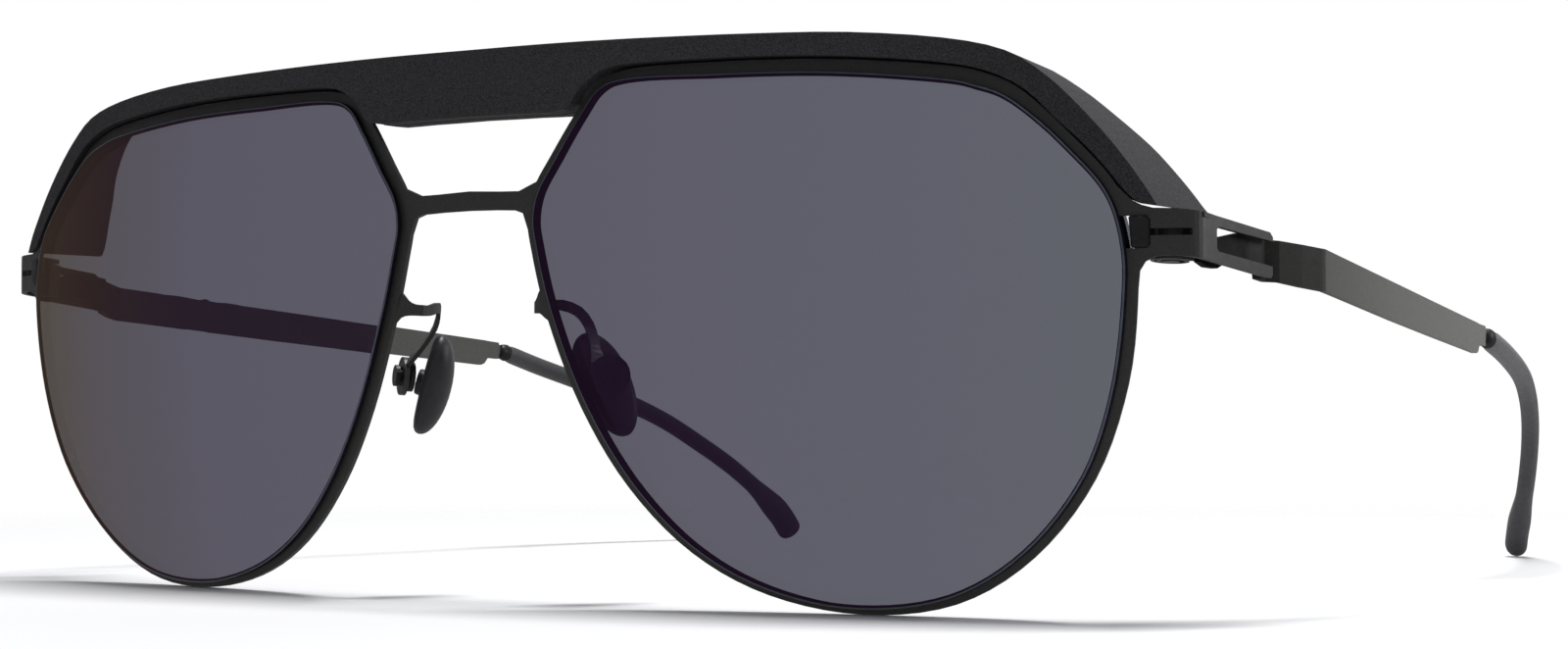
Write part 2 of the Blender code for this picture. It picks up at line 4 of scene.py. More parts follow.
import bmesh
import bpy
import numpy as np
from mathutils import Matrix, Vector

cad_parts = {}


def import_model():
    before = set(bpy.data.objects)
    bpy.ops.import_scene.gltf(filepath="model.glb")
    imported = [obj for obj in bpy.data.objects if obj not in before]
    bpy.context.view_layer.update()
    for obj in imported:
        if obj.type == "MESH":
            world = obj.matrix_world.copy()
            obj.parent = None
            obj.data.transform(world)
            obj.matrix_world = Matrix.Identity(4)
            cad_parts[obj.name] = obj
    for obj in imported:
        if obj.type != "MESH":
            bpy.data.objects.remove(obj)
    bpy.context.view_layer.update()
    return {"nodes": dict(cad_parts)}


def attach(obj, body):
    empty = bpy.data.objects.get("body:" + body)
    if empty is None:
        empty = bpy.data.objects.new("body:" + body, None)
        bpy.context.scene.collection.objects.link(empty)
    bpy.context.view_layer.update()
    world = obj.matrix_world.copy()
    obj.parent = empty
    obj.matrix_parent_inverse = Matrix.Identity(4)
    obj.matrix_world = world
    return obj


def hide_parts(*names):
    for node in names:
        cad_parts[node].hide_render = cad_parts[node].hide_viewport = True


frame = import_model()
nodes = frame["nodes"]
MM = 0.001
SIDES = (("left", 1), ("right", -1))

# Bow of the front, in millimetres as all lengths below unless they say otherwise.
MID_DEPTH = 67.72       # from the bridge's front face to the middle of the object's depth
FOREMOST = -0.72
BOW_START = 15.6        # flat across the bridge up to here
BOW_RADIUS = 144.4
STAND_RADIUS = 115.6
STAND_CENTRE = 32.1

# Outline of the left rim, x and z, and how much thinner the rim is in each direction from the lens middle.
RIM_POINTS = (
    (6.65, 34.2), (7.07, 31.45), (8.7, 25.43), (11.9, 17.5), (16.2, 10.6), (22.0, 4.95), (29.0, 1.45),
    (37.5, 0.0), (45.8, 1.05), (52.8, 5.1), (58.3, 11.6), (61.4, 19.4), (62.4, 27.0), (62.1, 31.6),
    (60.8, 35.4), (57.8, 39.0), (53.3, 43.3), (50.0, 45.0), (46.0, 45.85), (36.0, 46.8), (25.0, 47.1),
    (17.0, 47.0), (13.7, 46.0), (11.55, 43.5), (9.08, 39.87), (7.25, 36.95))
LENS_MIDDLE = (35.5, 25.0)
SLIM = ((-180, 0.1), (-150, 0.15), (-92, 0.62), (-70, 0.52), (-30, 0.5), (-8, 0.25), (14, 0.4), (37, 0.34),
        (54, -0.05), (115, 0.0), (134, 0.25), (150, 0.1), (180, 0.1))

# Lens edge from the front face to the back: distance in from the rim's outline, depth from the bow.
LENS_EDGE = (
    (1.40, -0.70), (1.28, -0.70), (1.24, -0.70), (1.15, -0.68), (1.1, -0.62), (1.1, -0.18), (1.5, -0.18),
    (1.5, 0.68), (1.1, 0.68), (1.1, 1.26), (1.18, 1.35), (1.22, 1.35), (1.4, 1.35))
LENS_SCALES = (0.12, 0.3, 0.48, 0.66, 0.82, 0.94)       # rings of a lens face, from the middle out
BEVEL_BANDS = (2, 4)    # which bands between the rows of LENS_EDGE are the bevel
WALL_BANDS = (4, 8)     # and which are the ground wall
GLASS, BEVEL, WALL = 0, 1, 2

# Plug beside the lens: its box, the radius of its outer corners in so many steps, its inner corners in from
# the box's side and from its top or foot, and each ring's margin and depth from the front.
LOCK_LOW, LOCK_HIGH, LOCK_INNER, LOCK_OUTER = 30.3, 32.95, 61.72, 63.4
LOCK_RADIUS, LOCK_STEPS = 0.42, 6
LOCK_TOP_CORNERS = ((0.12, 0.0), (0.02, 0.1))
LOCK_FOOT_CORNERS = ((0.22, 0.12), (0.34, 0.0))
LOCK_ROWS = ((0.36, -0.36), (0.22, -0.34), (0.12, -0.28), (0.05, -0.18), (0.02, -0.04), (0.02, 0.5),
             (0.02, 0.9), (0.1, 0.95))

# Soft tip of the left temple: its path, half height and half width, and what the flare adds.
TIP_PATH = (
    (64.1, 88.3, 24.72), (63.9, 94.5, 23.2), (62.9, 102.5, 21.2), (61.2, 110.0, 18.9),
    (59.3, 116.7, 16.2), (57.6, 121.8, 13.4), (55.9, 126.3, 10.6), (54.4, 129.8, 7.9),
    (53.1, 132.4, 5.4), (52.1, 134.2, 3.3), (51.5, 135.3, 1.51))
TIP_STEPS = 8
TIP_HALF = (1.08, 0.98)
TIP_FLARE = (0.6, 0.3)
TIP_MOUTH = ((0, 0.62, 0.6), (0, 0.92, 0.84), (1, 1.04, 0.94))      # path step, half height, half width
TIP_DOME = ((0.97, 0.35), (0.88, 0.68), (0.72, 0.95), (0.45, 1.15), (0.2, 1.24))    # scale, beyond the end
FLARE_AHEAD, FLARE_STEPS = 24, 13       # path steps before the end, and over how many it grows
ROUND_POWER = 0.9       # a little squarer than an ellipse

COLLAR_PATH = ((64.15, 86.75, 25.02), (64.1, 88.1, 24.75))
COLLAR_HALF = (0.98, 0.86)
COLLAR_SCALES = (0.5, 0.82, 0.93, 1.0, 1.06, 1.08, 0.9)

# Left nose pad: place, long axis, the way it faces, half length, half width and height of the crown.
PAD_CENTRE = Vector((10.35, 6.8, 19.7))
PAD_DOWN = Vector((3.86, 1.35, -9.09)).normalized()
PAD_FACE = Vector((-0.87, 0.5, 0.0))
PAD_HALF = (5.0, 2.45)
PAD_SIDES = 56
PAD_CROWN = 1.98
PAD_SOCKET = ((0.95, -1.34), (1.12, -1.3), (1.2, -1.2), (1.25, -0.8))   # radius, height
PAD_BACK = ((0.5, -0.75), (0.78, -0.72), (0.9, -0.6), (0.965, -0.4), (0.99, -0.2))      # scale, height
CROWN_RINGS, CROWN_TURN = 10, 0.155     # rings of the crown, and the angle from one to the next in radians
PAD_TAPER = 0.06

# Painted light and shade: depths along the temple, tip and lug, and the factor on the base colour there,
# below 1 for painted shade and above 1 for painted light.
TEMPLE_LIGHT_AND_SHADE = ((11.7, 0.16), (18.2, 0.22), (21.2, 0.75), (26.6, 0.85), (27.4, 2.4), (50.0, 3.6), (87.7, 4.5))
TIP_LIGHT_AND_SHADE = ((88.0, 2.3), (100.0, 1.7), (110.0, 0.8), (126.0, 0.7), (131.0, 1.15), (136.0, 0.7))
LUG_SHADE = ((-2.0, 1.0), (9.0, 1.0), (12.5, 0.8), (26.0, 0.7))
TEMPLE_DIM = {"left": 1.0, "right": 0.55}        # painted shade: the far side's temple and tip are darker copies
TIP_DIM = {"left": 1.0, "right": 0.45}
WARMTH = 0.985          # green against red and blue in those factors

# Tint of a lens and colour of its coating from the wearer's right to the left, as far as LENS_SPAN metres to
# each side of the piece's origin, and the coating's colour at grazing angles.
LENS_SPAN = 0.062
LENS_IOR = 1.5
TINT = (
    (0.0, (0.258, 0.253, 0.237)), (0.08, (0.283, 0.285, 0.308)), (0.22, (0.316, 0.321, 0.357)),
    (0.62, (0.331, 0.335, 0.369)), (0.85, (0.340, 0.350, 0.382)), (1.0, (0.346, 0.361, 0.380)))
COAT = (
    (0.0, (1.0, 0.66, 0.5)), (0.09, (0.9, 0.55, 0.5)), (0.2, (0.68, 0.35, 0.62)), (0.7, (0.7, 0.32, 0.85)),
    (1.0, (0.6, 0.34, 0.8)))
GRAZING_COAT = (0.62, 0.6, 0.68)
GRAZING = (0.55, 0.85)  # Facing values of a Layer Weight node between which the coating turns to it

# Studio, in metres and watts; each lamp has a name, a place, a target, a size and a power.
AMBIENT = 0.31
FLOOR_RADIUS = 1.2
FLOOR_LEVEL = -0.00005
FLOOR_FADE = (0.1, 0.26)
LIGHTS = (
    ("top", (0.02, 0.03, 0.8), (0, 0, 0.0), (0.1, 0.36), 8.5),
    ("side", (0.18, 0.06, 0.08), (0.06, 0.015, 0.022), (0.09, 0.07), 0.1))
SHARP_ANGLE = 38        # degrees; sharper edges stay sharp or get a bevel


def depth(x, z):
    """Depth of the bowed front at a place on it."""
    bow = max(abs(x) - BOW_START, 0.0)
    return FOREMOST + bow * bow / (2 * BOW_RADIUS) + (z - STAND_CENTRE) ** 2 / (2 * STAND_RADIUS)


def world(point):
    """A place in the CAD's millimetres as metres in the frame."""
    x, y, z = point
    return Vector((x, y - MID_DEPTH, z)) * MM


def through(points, steps, closed=True):
    """A smooth curve through the points, with the given number of steps between two of them."""
    count = len(points)
    result = []
    for i in range(count if closed else count - 1):
        if closed:
            p = [Vector(points[(i + k) % count]) for k in (-1, 0, 1, 2)]
        else:
            p = [Vector(points[min(max(i + k, 0), count - 1)]) for k in (-1, 0, 1, 2)]
        for step in range(steps):
            t = step / steps
            result.append(0.5 * (2 * p[1] + (p[2] - p[0]) * t
                                 + (2 * p[0] - 5 * p[1] + 4 * p[2] - p[3]) * t * t
                                 + (3 * p[1] - p[0] - 3 * p[2] + p[3]) * t ** 3))
    if not closed:
        result.append(Vector(points[-1]))
    return result


def slimness(point):
    """How much thinner the rim is at a point, by its direction from the lens middle."""
    angle = math.degrees(math.atan2(point.y - LENS_MIDDLE[1], point.x - LENS_MIDDLE[0]))
    return float(np.interp(angle, [row[0] for row in SLIM], [row[1] for row in SLIM]))


def inset(outline, distance):
    """The outline moved inwards, less where the rim is slim."""
    moved = []
    for i, point in enumerate(outline):
        along = (outline[(i + 1) % len(outline)] - outline[i - 1]).normalized()
        moved.append(point + Vector((-along.y, along.x)) * (distance - slimness(point)))
    return moved


def loft(name, rings, ends=(None, None), slots=None):
    """A closed body through rings of equal count; slots gives the material slot of each band."""
    builder = bmesh.new()
    rows = [[builder.verts.new(world(point)) for point in ring] for ring in rings]
    count = len(rings[0])
    for n, (lower, upper) in enumerate(zip(rows, rows[1:])):
        for i in range(count):
            j = (i + 1) % count
            face = builder.faces.new((lower[i], lower[j], upper[j], upper[i]))
            face.material_index = slots[n] if slots else 0
    for row, centre in ((rows[0][::-1], ends[0]), (rows[-1], ends[1])):
        if centre is None:
            builder.faces.new(row)
            continue
        tip = builder.verts.new(world(centre))
        for i in range(count):
            builder.faces.new((row[i], row[(i + 1) % count], tip))
    bmesh.ops.recalc_face_normals(builder, faces=builder.faces)
    mesh = bpy.data.meshes.new(name)
    builder.to_mesh(mesh)
    builder.free()
    mesh.shade_smooth()
    mesh.set_sharp_from_angle(angle=math.radians(SHARP_ANGLE))
    made = bpy.data.objects.new(name, mesh)
    bpy.context.scene.collection.objects.link(made)
    return made


# ---------------------------------------------------------------- camera, floor, light
def camera():
    """A long lens in front, 32 degrees to the wearer's left and a little above the floor."""
    data = bpy.data.cameras.new("camera")
    data.sensor_fit = "HORIZONTAL"
    data.sensor_width = 36.0
    data.lens = 66.92
    data.shift_x = -0.0049
    data.shift_y = -0.0041
    data.clip_start = 0.01
    data.clip_end = 20.0
    made = bpy.data.objects.new("camera", data)
    made.location = (0.16319, -0.27476, 0.01679)
    made.rotation_euler = (math.radians(91.92), 0.0, math.radians(32.0))
    bpy.context.scene.collection.objects.link(made)
    bpy.context.scene.camera = made


def area(name, place, target, size, power):
    """A rectangular lamp, unseen by the camera and turned to its target."""
    data = bpy.data.lights.new(name, "AREA")
    data.shape = "RECTANGLE"
    data.size, data.size_y = size
    data.energy = power
    made = bpy.data.objects.new(name, data)
    made.location = place
    made.rotation_euler = (Vector(target) - Vector(place)).to_track_quat("-Z", "Y").to_euler()
    made.visible_camera = False
    bpy.context.scene.collection.objects.link(made)


def white(tree, kind, strength):
    """A white Emission or Background node."""
    made = tree.nodes.new(kind)
    made.inputs["Color"].default_value = (1.0, 1.0, 1.0, 1.0)
    made.inputs["Strength"].default_value = strength
    return made


def mixed(tree, fac, first, second):
    """Mix two shaders by the value of an output."""
    made = tree.nodes.new("ShaderNodeMixShader")
    tree.links.new(fac, made.inputs[0])
    tree.links.new(first.outputs[0], made.inputs[1])
    tree.links.new(second.outputs[0], made.inputs[2])
    return made


def combined(tree, operation, first, second):
    """One value worked out from two outputs, kept between 0 and 1."""
    made = tree.nodes.new("ShaderNodeMath")
    made.operation = operation
    made.use_clamp = True
    tree.links.new(first, made.inputs[0])
    tree.links.new(second, made.inputs[1])
    return made.outputs[0]


def studio_air():
    """A dim surround for light and reflections, white where it is looked at, also through a lens."""
    studio = bpy.data.worlds.new("studio")
    studio.use_nodes = True
    tree = studio.node_tree
    back = tree.nodes["Background"]
    back.inputs["Color"].default_value = (0.95, 0.97, 1.0, 1.0)
    back.inputs["Strength"].default_value = AMBIENT
    seen = white(tree, "ShaderNodeBackground", 1.0)
    path = tree.nodes.new("ShaderNodeLightPath")
    straight = combined(tree, "MAXIMUM", path.outputs["Is Camera Ray"], path.outputs["Is Transmission Ray"])
    either = mixed(tree, straight, back, seen)
    tree.links.new(either.outputs[0], tree.nodes["World Output"].inputs["Surface"])
    bpy.context.scene.world = studio


def studio_floor():
    """A pale floor that fades into the white surround, white through a lens and dim in reflections."""
    builder = bmesh.new()
    bmesh.ops.create_circle(builder, cap_ends=True, radius=FLOOR_RADIUS, segments=96)
    floor_mesh = bpy.data.meshes.new("floor")
    builder.to_mesh(floor_mesh)
    builder.free()
    floor = bpy.data.objects.new("floor", floor_mesh)
    floor.location.z = FLOOR_LEVEL
    pale = finish("floor_pale", (0.7, 0.7, 0.705), 0.6, 0.0, 0.2)
    tree = pale.node_tree
    far = tree.nodes.new("ShaderNodeVectorMath")
    far.operation = "LENGTH"
    fade = add_node(tree, "ShaderNodeMapRange", From_Min=FLOOR_FADE[0], From_Max=FLOOR_FADE[1], To_Min=1.0,
                    To_Max=0.0)
    fade.interpolation_type = "SMOOTHSTEP"
    tree.links.new(coordinates(pale), far.inputs[0])
    tree.links.new(far.outputs["Value"], fade.inputs["Value"])
    path = tree.nodes.new("ShaderNodeLightPath")
    straight = path.outputs["Is Transmission Ray"]
    lit = mixed(tree, straight, tree.nodes["Principled BSDF"], white(tree, "ShaderNodeEmission", 1.0))
    reflected = combined(tree, "SUBTRACT", path.outputs["Is Glossy Ray"], straight)
    mirrored = mixed(tree, reflected, lit, white(tree, "ShaderNodeEmission", AMBIENT))
    whole = mixed(tree, fade.outputs["Result"], tree.nodes.new("ShaderNodeBsdfTransparent"), mirrored)
    tree.links.new(whole.outputs[0], tree.nodes["Material Output"].inputs["Surface"])
    floor_mesh.materials.append(pale)
    bpy.context.scene.collection.objects.link(floor)


def surroundings():
    """Plain colours, the studio, the floor and the lamps."""
    bpy.context.scene.view_settings.view_transform = "Standard"
    bpy.context.scene.view_settings.look = "None"
    studio_air()
    studio_floor()
    for light in LIGHTS:
        area(*light)


# ---------------------------------------------------------------- materials
def finish(name, colour, roughness, metallic=0.0, specular=0.5):
    """A material with one Principled shader and plain values."""
    made = bpy.data.materials.new(name)
    made.use_nodes = True
    shader = made.node_tree.nodes["Principled BSDF"]
    shader.inputs["Base Color"].default_value = (*colour, 1.0)
    shader.inputs["Roughness"].default_value = roughness
    shader.inputs["Metallic"].default_value = metallic
    shader.inputs["Specular IOR Level"].default_value = specular
    return made


def add_node(tree, kind, **values):
    """A node with some inputs set; an underscore in a name stands for a space."""
    made = tree.nodes.new(kind)
    for key, value in values.items():
        key = key.replace("_", " ")
        made.inputs[key].default_value = value
    return made


def coordinates(made):
    """Object coordinates, from one node per material; they follow the piece when it moves."""
    tree = made.node_tree
    found = [n for n in tree.nodes if n.type == "TEX_COORD"]
    return (found[0] if found else tree.nodes.new("ShaderNodeTexCoord")).outputs["Object"]


def tone_ramp(tree, source, stops):
    """Colours by the value of an output; each stop is (place, colour)."""
    ramp = tree.nodes.new("ShaderNodeValToRGB")
    tones = ramp.color_ramp
    for tone, (place, colour) in zip(tones.elements, (stops[0], stops[-1])):
        tone.position = place
        tone.color = (*colour, 1)
    for place, colour in stops[1:-1]:
        tones.elements.new(place).color = (*colour, 1)
    tree.links.new(source, ramp.inputs["Fac"])
    return ramp


def mottle(made, low, high, scale, detail=3.0, start=0.35, end=0.65):
    """Colour that varies between two tones in a fine noise."""
    tree = made.node_tree
    noise = add_node(tree, "ShaderNodeTexNoise", Scale=scale, Detail=detail, Roughness=0.6)
    ramp = tone_ramp(tree, noise.outputs["Fac"], ((start, low), (end, high)))
    tree.links.new(coordinates(made), noise.inputs["Vector"])
    tree.links.new(ramp.outputs["Color"], tree.nodes["Principled BSDF"].inputs["Base Color"])


def vary_roughness(made, low, high, scale):
    """Roughness that varies between two values in a noise."""
    tree = made.node_tree
    noise = add_node(tree, "ShaderNodeTexNoise", Scale=scale, Detail=3.0)
    spread = add_node(tree, "ShaderNodeMapRange", From_Min=0.3, From_Max=0.7, To_Min=low, To_Max=high)
    tree.links.new(coordinates(made), noise.inputs["Vector"])
    tree.links.new(noise.outputs["Fac"], spread.inputs["Value"])
    tree.links.new(spread.outputs["Result"], tree.nodes["Principled BSDF"].inputs["Roughness"])


def grain(made, layers):
    """Bump from several noises, each (scale, height in metres, strength)."""
    tree = made.node_tree
    last = None
    for scale, height, strength in layers:
        noise = add_node(tree, "ShaderNodeTexNoise", Scale=scale, Detail=2.0, Roughness=0.55)
        bump = add_node(tree, "ShaderNodeBump", Strength=strength, Distance=height)
        tree.links.new(coordinates(made), noise.inputs["Vector"])
        tree.links.new(noise.outputs["Fac"], bump.inputs["Height"])
        if last:
            tree.links.new(last.outputs["Normal"], bump.inputs["Normal"])
        last = bump
    tree.links.new(last.outputs["Normal"], tree.nodes["Principled BSDF"].inputs["Normal"])


def coated_sheet(smooth=0.36, rough=0.5):
    """Satin coating on thin sheet metal, between two roughnesses."""
    made = finish("coated_sheet_satin", (0.028, 0.028, 0.026), 0.42, 0.3, 0.35)
    mottle(made, (0.036, 0.0365, 0.034), (0.047, 0.0465, 0.044), 5200.0)
    vary_roughness(made, smooth, rough, 900.0)
    grain(made, ((6500.0, 0.000012, 0.35), (420.0, 0.00002, 0.12)))
    return made


def paint_light_and_shade(made, levels):
    """Paint light and shade into the base colour from front to back; each level is (CAD depth, factor)."""
    tree = made.node_tree
    base = tree.nodes["Principled BSDF"].inputs["Base Color"]
    plain = base.links[0].from_socket
    first, last = levels[0][0], levels[-1][0]
    split = tree.nodes.new("ShaderNodeSeparateXYZ")
    along = add_node(tree, "ShaderNodeMapRange", From_Min=(first - MID_DEPTH) * MM,
                     From_Max=(last - MID_DEPTH) * MM)
    stops = [((place - first) / (last - first), (level, level * WARMTH, level)) for place, level in levels]
    shade = tone_ramp(tree, along.outputs["Result"], stops)
    multiply = tree.nodes.new("ShaderNodeMix")
    multiply.data_type = "RGBA"
    multiply.blend_type = "MULTIPLY"
    multiply.inputs[0].default_value = 1.0
    tree.links.new(coordinates(made), split.inputs[0])
    tree.links.new(split.outputs["Y"], along.inputs["Value"])
    tree.links.new(plain, multiply.inputs[6])
    tree.links.new(shade.outputs["Color"], multiply.inputs[7])
    tree.links.new(multiply.outputs[2], base)
    return shade


def temple_sheet(word):
    """The coated sheet again, with painted shade inside the lug and painted light behind the crease."""
    made = coated_sheet(0.5, 0.62)
    made.name = f"temple_sheet_{word}"
    tree = made.node_tree
    shade = paint_light_and_shade(made, [(place, level * TEMPLE_DIM[word]) for place, level in TEMPLE_LIGHT_AND_SHADE])
    # the specular level follows the painted shade: low in the shaded lug, higher where light is painted
    gloss_by_painted_shade = add_node(tree, "ShaderNodeMapRange", To_Min=0.02, To_Max=0.22)
    tree.links.new(shade.outputs["Color"], gloss_by_painted_shade.inputs["Value"])
    tree.links.new(gloss_by_painted_shade.outputs["Result"], tree.nodes["Principled BSDF"].inputs["Specular IOR Level"])
    return made


def front_sheet():
    """The coated sheet again, with painted shade darkening the lugs."""
    made = coated_sheet()
    made.name = "front_sheet"
    paint_light_and_shade(made, LUG_SHADE)
    return made


def printed_nylon():
    """Matte nylon of the brow bar, with the grain of a printed part."""
    made = finish("printed_nylon_grain", (0.014, 0.0135, 0.015), 0.75, 0.0, 0.3)
    mottle(made, (0.013, 0.0122, 0.0155), (0.043, 0.040, 0.042), 6800.0, 2.0, 0.36, 0.66)
    vary_roughness(made, 0.62, 0.85, 2500.0)
    grain(made, ((7500.0, 0.00008, 0.7), (2600.0, 0.00006, 0.35)))
    return made


def silicone():
    """Satin silicone of the nose pads."""
    made = finish("silicone_satin", (0.018, 0.018, 0.02), 0.42, 0.0, 0.4)
    mottle(made, (0.015, 0.015, 0.017), (0.021, 0.021, 0.023), 1500.0)
    vary_roughness(made, 0.36, 0.48, 1200.0)
    grain(made, ((5200.0, 0.000015, 0.25),))
    made.node_tree.nodes["Principled BSDF"].inputs["Sheen Weight"].default_value = 0.08
    return made


def tip_rubber(word):
    """Soft rubber of a temple tip, with painted light and shade along its length and a darker copy for the
    far side.
    """
    made = finish(f"tip_rubber_satin_{word}", (0.03, 0.03, 0.031), 0.5, 0.0, 0.4)
    mottle(made, (0.033, 0.033, 0.036), (0.046, 0.0455, 0.049), 2600.0)
    vary_roughness(made, 0.44, 0.58, 1500.0)
    grain(made, ((4800.0, 0.00002, 0.3), (350.0, 0.00003, 0.1)))
    made.node_tree.nodes["Principled BSDF"].inputs["Sheen Weight"].default_value = 0.1
    paint_light_and_shade(made, [(place, level * TIP_DIM[word]) for place, level in TIP_LIGHT_AND_SHADE])
    return made


def dark_polymer():
    """Near-black moulded plastic of the plugs, collars and pad clips."""
    made = finish("dark_polymer_soft_gloss", (0.008, 0.008, 0.009), 0.42, 0.0, 0.35)
    mottle(made, (0.006, 0.006, 0.007), (0.011, 0.011, 0.012), 3000.0)
    vary_roughness(made, 0.38, 0.5, 1600.0)
    grain(made, ((5000.0, 0.00001, 0.2),))
    return made


def tinted_lens(word):
    """Grey lens that bends what is seen through it, with a faint change of tint across it."""
    made = bpy.data.materials.new(f"tinted_lens_{word}")
    made.use_nodes = True
    tree = made.node_tree
    tree.nodes.clear()
    split = tree.nodes.new("ShaderNodeSeparateXYZ")
    across = add_node(tree, "ShaderNodeMapRange", From_Min=-LENS_SPAN, From_Max=LENS_SPAN)
    tree.links.new(coordinates(made), split.inputs[0])
    tree.links.new(split.outputs["X"], across.inputs["Value"])

    tint = tone_ramp(tree, across.outputs["Result"], TINT)
    glass = add_node(tree, "ShaderNodeBsdfRefraction", IOR=LENS_IOR, Roughness=0.0)
    clear = tree.nodes.new("ShaderNodeBsdfTransparent")
    tree.links.new(tint.outputs["Color"], glass.inputs["Color"])
    tree.links.new(tint.outputs["Color"], clear.inputs["Color"])
    path = tree.nodes.new("ShaderNodeLightPath")
    body = mixed(tree, path.outputs["Is Shadow Ray"], glass, clear)

    coat = tone_ramp(tree, across.outputs["Result"], COAT)
    grazing = add_node(tree, "ShaderNodeLayerWeight", Blend=0.5)
    turn = add_node(tree, "ShaderNodeMapRange", From_Min=GRAZING[0], From_Max=GRAZING[1])
    neutral = tree.nodes.new("ShaderNodeMix")
    neutral.data_type = "RGBA"
    neutral.inputs[7].default_value = (*GRAZING_COAT, 1)
    tree.links.new(grazing.outputs["Facing"], turn.inputs["Value"])
    tree.links.new(turn.outputs["Result"], neutral.inputs[0])
    tree.links.new(coat.outputs["Color"], neutral.inputs[6])

    gloss = add_node(tree, "ShaderNodeBsdfGlossy", Roughness=0.03)
    film = add_node(tree, "ShaderNodeTexNoise", Scale=60.0, Detail=1.0)
    ripple = add_node(tree, "ShaderNodeBump", Strength=0.03, Distance=0.00002)
    tree.links.new(neutral.outputs[2], gloss.inputs["Color"])
    tree.links.new(coordinates(made), film.inputs["Vector"])
    tree.links.new(film.outputs["Fac"], ripple.inputs["Height"])
    tree.links.new(ripple.outputs["Normal"], gloss.inputs["Normal"])

    fresnel = add_node(tree, "ShaderNodeFresnel", IOR=LENS_IOR)
    whole = mixed(tree, fresnel.outputs[0], body, gloss)
    output = tree.nodes.new("ShaderNodeOutputMaterial")
    tree.links.new(whole.outputs[0], output.inputs["Surface"])
    return made


def lens_edge():
    """The polished bevel, with a painted gleam in its bluish base colour, and the ground wall behind it."""
    # painted highlight: the bluish base colour stands in for the light-blue gleam along the edge; its gloss
    # comes from the shader
    bevel = finish("lens_polished_bevel", (0.05, 0.06, 0.085), 0.18, 0.0, 0.6)
    mottle(bevel, (0.04, 0.05, 0.075), (0.06, 0.072, 0.1), 800.0)
    wall = finish("lens_ground_wall", (0.012, 0.009, 0.014), 0.6, 0.0, 0.1)
    mottle(wall, (0.009, 0.007, 0.011), (0.014, 0.011, 0.017), 2500.0)
    wall.node_tree.nodes["Principled BSDF"].inputs["IOR"].default_value = 1.0
    return bevel, wall


# ---------------------------------------------------------------- pieces
def paint(obj, made):
    """Give a piece one material in place of its own."""
    obj.data.materials.clear()
    obj.data.materials.append(made)


def soften(obj, width, segments=2):
    """Roll the sharp edges of a CAD piece with a narrow bevel."""
    bevel = obj.modifiers.new("soft_edges", "BEVEL")
    bevel.width = width * MM
    bevel.segments = segments
    bevel.limit_method = "ANGLE"
    bevel.angle_limit = math.radians(SHARP_ANGLE)
    bevel.use_clamp_overlap = True
    bevel.harden_normals = False


def lens_piece(word, side, glass, edge):
    """A polished lens: two bowed faces, a bevel, and a groove that the rim sits in."""
    rim = through(RIM_POINTS, 6)
    centre = Vector(LENS_MIDDLE)
    front_inset, front = LENS_EDGE[0]
    back_inset, back = LENS_EDGE[-1]
    face = inset(rim, front_inset)
    hollow = inset(rim, back_inset)

    def ring(outline, offset):
        return [(side * p.x, depth(p.x, p.y) + offset, p.y) for p in outline]

    def shrunk(outline, scale):
        return [centre + (p - centre) * scale for p in outline]

    rings = [ring(shrunk(face, k), front) for k in LENS_SCALES]
    rings += [ring(inset(rim, distance), offset) for distance, offset in LENS_EDGE]
    rings += [ring(shrunk(hollow, k), back) for k in reversed(LENS_SCALES)]
    slots = [GLASS] * (len(rings) - 1)
    for slot, bands in ((BEVEL, BEVEL_BANDS), (WALL, WALL_BANDS)):
        for k in range(*bands):
            slots[len(LENS_SCALES) + k] = slot
    ends = [(side * centre.x, depth(centre.x, centre.y) + offset, centre.y) for offset in (front, back)]
    made = loft(f"lens_{word}_polished", rings, ends, slots)
    for look in (glass, *edge):
        made.data.materials.append(look)
    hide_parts(f"lens_{word}")
    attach(made, "front")


def sweep_ring(path, i, tall, wide, side, sides=28, shift=0.0, power=1.0):
    """A rounded ring across the path at point i, moved on along it by shift."""
    along = (Vector(path[min(i + 1, len(path) - 1)]) - Vector(path[max(i - 1, 0)])).normalized()
    level = along.cross(Vector((0, 0, 1))).normalized()
    up = level.cross(along)
    point = Vector(path[i]) + along * shift
    ring = []
    for k in range(sides):
        a = 2 * math.pi * k / sides
        c, s = math.cos(a), math.sin(a)
        c = math.copysign(abs(c) ** power, c)
        s = math.copysign(abs(s) ** power, s)
        ring.append(Vector((side, 1, 1)) * (point + tall * c * up + wide * s * level))
    return ring


def tip_piece(word, side, rubber):
    """The soft sleeve of a temple, flared and domed at its end."""
    path = through(TIP_PATH, TIP_STEPS, closed=False)
    last = len(path) - 1
    tall, wide = TIP_HALF
    more_tall, more_wide = TIP_FLARE
    rings = [sweep_ring(path, i, mouth_tall, mouth_wide, side) for i, mouth_tall, mouth_wide in TIP_MOUTH]
    for i in range(2, last + 1):
        t = min(max((i - last + FLARE_AHEAD) / FLARE_STEPS, 0.0), 1.0)
        flare = t * t * (3 - 2 * t)
        rings.append(sweep_ring(path, i, tall + more_tall * flare, wide + more_wide * flare, side,
                                power=ROUND_POWER))
    for size, shift in TIP_DOME:
        rings.append(sweep_ring(path, last, (tall + more_tall) * size, (wide + more_wide) * size, side,
                                shift=shift, power=ROUND_POWER))
    made = loft(f"temple_tip_{word}_moulded", rings)
    paint(made, rubber)
    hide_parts(f"temple_tip_{word}")
    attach(made, f"{word}_temple")


def collar_piece(word, side, dark):
    """The small ring between a temple plate and its sleeve."""
    tall, wide = COLLAR_HALF
    path = through(COLLAR_PATH, len(COLLAR_SCALES) - 1, closed=False)
    rings = [sweep_ring(path, i, tall * k, wide * k, side) for i, k in enumerate(COLLAR_SCALES)]
    made = loft(f"tip_collar_{word}_ring", rings)
    paint(made, dark)
    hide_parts(f"tip_collar_{word}")
    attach(made, f"{word}_temple")


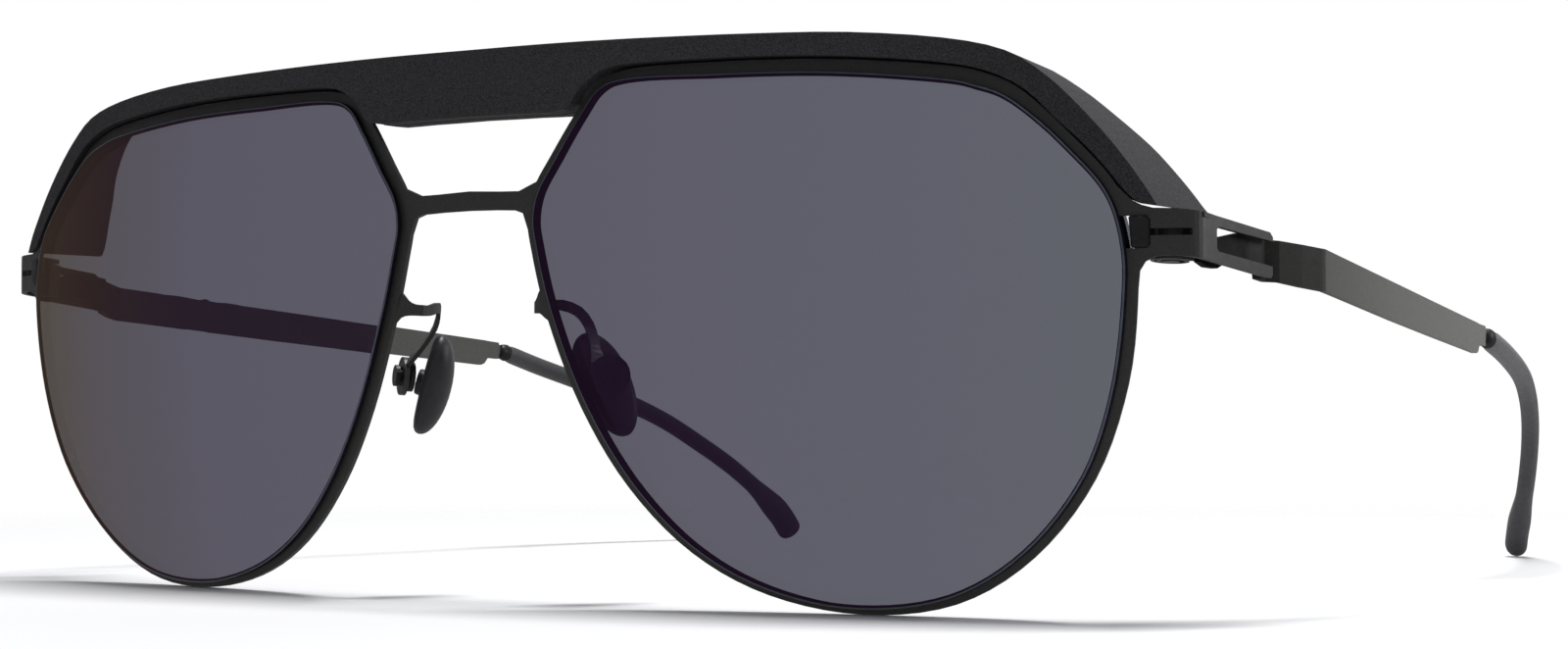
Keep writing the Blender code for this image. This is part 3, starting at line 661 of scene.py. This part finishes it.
def pad_piece(word, side, soft):
    """A nose pad: a socket behind it, a shallow back and a crowned face."""
    flip = Vector((side, 1, 1))
    down = PAD_DOWN.copy()
    face = (PAD_FACE - down * PAD_FACE.dot(down)).normalized()
    wide = down.cross(face)
    centre, down, face, wide = [v * flip for v in (PAD_CENTRE, down, face, wide)]
    long, short = PAD_HALF

    def ring(length, width, height):
        ring_points = []
        for k in range(PAD_SIDES):
            a = 2 * math.pi * k / PAD_SIDES
            taper = 1.0 - PAD_TAPER * math.cos(a)
            ring_points.append(centre + face * height + length * math.cos(a) * down
                               + width * taper * math.sin(a) * wide)
        return ring_points

    rings = [ring(radius, radius, height) for radius, height in PAD_SOCKET]
    rings += [ring(k * long, k * short, height) for k, height in PAD_BACK]
    for k in range(CROWN_RINGS):
        a = k * CROWN_TURN
        rings.append(ring(math.cos(a) * long, math.cos(a) * short, PAD_CROWN * math.sin(a)))
    made = loft(f"nose_pad_{word}_moulded", rings, (None, centre + face * PAD_CROWN))
    paint(made, soft)
    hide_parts(f"nose_pad_{word}")
    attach(made, f"{word}_pad")


def lock_piece(word, side, dark):
    """The plug in the slot beside the lens, with softly rolled edges."""

    def outline(margin):
        middle = LOCK_OUTER - LOCK_RADIUS
        radius = LOCK_RADIUS - margin
        points = []
        for z, start in ((LOCK_LOW + LOCK_RADIUS, -90), (LOCK_HIGH - LOCK_RADIUS, 0)):
            for k in range(LOCK_STEPS + 1):
                a = math.radians(start + 90 * k / LOCK_STEPS)
                points.append((middle + radius * math.cos(a), z + radius * math.sin(a)))
        points += [(LOCK_INNER + x + margin, LOCK_HIGH - z - margin) for x, z in LOCK_TOP_CORNERS]
        points += [(LOCK_INNER + x + margin, LOCK_LOW + z + margin) for x, z in LOCK_FOOT_CORNERS]
        return points

    rings = []
    for margin, offset in LOCK_ROWS:
        rings.append([(side * x, depth(x, z) + offset, z) for x, z in outline(margin)])
    made = loft(f"rim_lock_{word}_moulded", rings)
    paint(made, dark)
    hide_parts(f"rim_lock_{word}")
    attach(made, "front")


def main():
    camera()
    surroundings()
    sheet, nylon, soft = coated_sheet(), printed_nylon(), silicone()
    dark, edge = dark_polymer(), lens_edge()
    paint(nodes["front_frame"], front_sheet())
    soften(nodes["front_frame"], 0.07)
    paint(nodes["brow_bar"], nylon)
    soften(nodes["brow_bar"], 0.16, 3)
    for word, side in SIDES:
        lens_piece(word, side, tinted_lens(word), edge)
        tip_piece(word, side, tip_rubber(word))
        collar_piece(word, side, dark)
        pad_piece(word, side, soft)
        lock_piece(word, side, dark)
        for name, made, width in (("temple", temple_sheet(word), 0.08), ("hinge_coil", sheet, 0.05),
                                  ("hinge_core", sheet, 0.08), ("pad_clip", dark, 0.12)):
            node = nodes[f"{name}_{word}"]
            paint(node, made)
            soften(node, width)


main()
